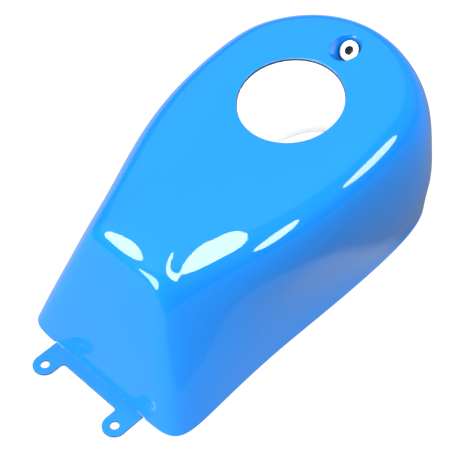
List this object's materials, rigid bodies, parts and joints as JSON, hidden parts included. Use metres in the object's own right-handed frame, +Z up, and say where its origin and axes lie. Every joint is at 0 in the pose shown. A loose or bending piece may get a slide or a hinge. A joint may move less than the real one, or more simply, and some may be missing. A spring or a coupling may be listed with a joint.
{
  "type": "motorcycle tank cover",
  "caption": "Glossy open-bottomed teardrop tank cover with a round filler opening, a front bush in a leaning pocket and a two-eared rear bracket.",
  "frame": {"origin": "on the floor plane, under the middle of the whole part's box", "axes": "+Y towards the front of the motorcycle, +Z up, +X to the rider's right"},
  "size_m": [0.263, 0.52, 0.2321],
  "materials": {
    "gloss_paint": "strong blue solid colour under a high-gloss clear coat, plain white inside",
    "bracket_paint": "the same blue over sheet steel, slightly less even",
    "bare_steel": "bare turned steel",
    "zinc_plate": "dull zinc plating",
    "rubber": "black moulded rubber",
    "foam_rubber": "dark grey closed-cell foam rubber"
  },
  "bodies": {
    "root": {"cover_shell": "gloss_paint", "rear_bracket": "bracket_paint", "front_bush": "bare_steel", "front_grommet": "rubber", "front_washer": "zinc_plate", "filler_seal": "rubber", "pad_front_left": "foam_rubber", "pad_front_right": "foam_rubber", "pad_rear_left": "foam_rubber", "pad_rear_right": "foam_rubber"}
  },
  "joints": []
}
